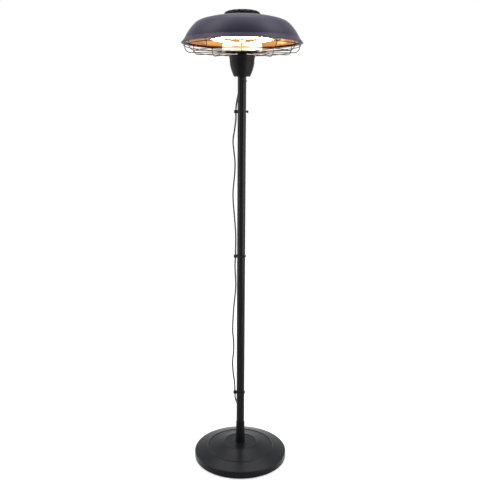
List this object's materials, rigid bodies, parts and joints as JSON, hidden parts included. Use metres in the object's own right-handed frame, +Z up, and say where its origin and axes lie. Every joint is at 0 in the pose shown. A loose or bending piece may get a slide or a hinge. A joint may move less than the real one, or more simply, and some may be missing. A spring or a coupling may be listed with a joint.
{
  "type": "infrared patio heater tower",
  "caption": "Standing electric patio heater: round weighted base, slim pole with clipped cord, and a domed hood over lamps behind a wire guard.",
  "frame": {"origin": "on the floor, under the middle of the pole", "axes": "+Z up along the pole, -Y towards the front, +X to the right seen from the front"},
  "size_m": [0.53, 0.53, 2.0892],
  "materials": {
    "hood_paint": "smooth dark grey enamel",
    "pole_paint": "satin black enamel",
    "base_plastic": "fine-grained dark grey moulding",
    "black_plastic": "black moulding",
    "rubber": "black rubber",
    "lead_rubber": "round black rubber lead",
    "cast_iron": "rough casting",
    "zinc_steel": "zinc plated",
    "copper_tone": "bright, copper-toned",
    "bright_sheet": "polished",
    "ceramic": "unglazed white ceramic",
    "lamp_glass": "clear quartz with a glowing filament",
    "bronze_wire": "bronze-toned plating"
  },
  "bodies": {
    "heater": {"base_cover": "base_plastic", "base_pad": "rubber", "base_weight": "cast_iron", "cap_bolt": "zinc_steel", "centre_bolt": "zinc_steel", "centre_tube": "bright_sheet", "cord_clip_lower": "black_plastic", "cord_clip_middle": "black_plastic", "cord_clip_upper": "black_plastic", "cord_gland": "black_plastic", "cord_hank": "lead_rubber", "cord_tie": "rubber", "drum_plate": "bright_sheet", "guard_ring_inner": "bronze_wire", "guard_ring_middle": "bronze_wire", "guard_ring_outer": "bronze_wire", "guard_spoke_0": "bronze_wire", "guard_spoke_1": "bronze_wire", "guard_spoke_10": "bronze_wire", "guard_spoke_11": "bronze_wire", "guard_spoke_2": "bronze_wire", "guard_spoke_3": "bronze_wire", "guard_spoke_4": "bronze_wire", "guard_spoke_5": "bronze_wire", "guard_spoke_6": "bronze_wire", "guard_spoke_7": "bronze_wire", "guard_spoke_8": "bronze_wire", "guard_spoke_9": "bronze_wire", "head_spigot": "zinc_steel", "hood": "hood_paint", "joiner_lower": "zinc_steel", "joiner_upper": "zinc_steel", "lamp_bracket_left": "zinc_steel", "lamp_bracket_rear": "zinc_steel", "lamp_bracket_right": "zinc_steel", "lamp_drum": "bright_sheet", "lamp_front": "lamp_glass", "lamp_holder_left": "ceramic", "lamp_holder_rear": "ceramic", "lamp_holder_right": "ceramic", "lamp_left": "lamp_glass", "lamp_right": "lamp_glass", "neck_front": "black_plastic", "neck_rear": "black_plastic", "neck_screw_left": "zinc_steel", "neck_screw_right": "zinc_steel", "pole_lower": "pole_paint", "pole_middle": "pole_paint", "pole_socket": "black_plastic", "pole_upper": "pole_paint", "power_cord": "lead_rubber", "power_plug": "black_plastic", "reflector": "copper_tone", "selector_switch": "black_plastic", "socket_nut": "zinc_steel", "socket_screw": "zinc_steel", "spigot_screw": "zinc_steel", "terminal_block": "ceramic", "vent_cap": "black_plastic"},
    "knob": {"selector_knob": "black_plastic"}
  },
  "joints": [
    {"name": "knob_turn", "type": "hinge", "parent": "heater", "child": "knob", "pos_m": [0, 0.0563, 1.8676], "axis": [0, 1, 0], "range_deg": [0, 135]}
  ]
}
